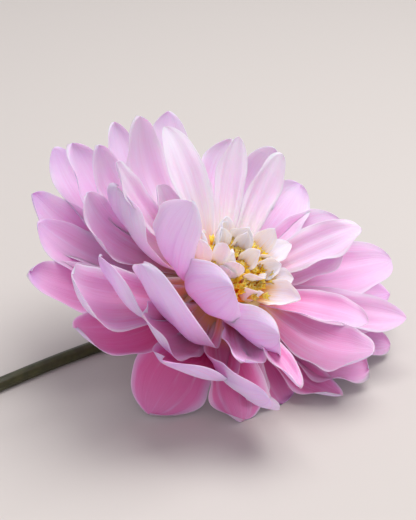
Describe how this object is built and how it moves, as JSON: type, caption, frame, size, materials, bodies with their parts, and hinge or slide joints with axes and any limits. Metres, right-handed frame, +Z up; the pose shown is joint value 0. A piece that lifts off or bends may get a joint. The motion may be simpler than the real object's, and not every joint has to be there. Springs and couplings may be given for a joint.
{
  "type": "dahlia flower",
  "caption": "Cut dahlia bloom on a curved stem, lying on its side, with layered cupped petals round a cream and yellow heart.",
  "frame": {"origin": "on the table, at the centre of the part's bounding box seen from above", "axes": "+Z up from the table, +X along the longest extent, away from the stem's cut end, and the bloom faces -Y and up"},
  "size_m": [0.16, 0.1277, 0.0898],
  "materials": {
    "stem": "smooth green plant skin, slightly ribbed, satin",
    "calyx": "fleshy green bracts, satin",
    "petal": "soft thin petal, lilac pink, paler at the tips and outside, deeper pink towards the root, fine lengthwise veins",
    "cream_petal": "soft thin petal, near white with a cream yellow root",
    "floret": "matte golden yellow florets, deep orange in the heart"
  },
  "bodies": {
    "root": {"stem": "stem", "involucre": "calyx", "ray_florets": "petal", "inner_ray_florets": "cream_petal", "disc_florets": "floret"}
  },
  "joints": []
}
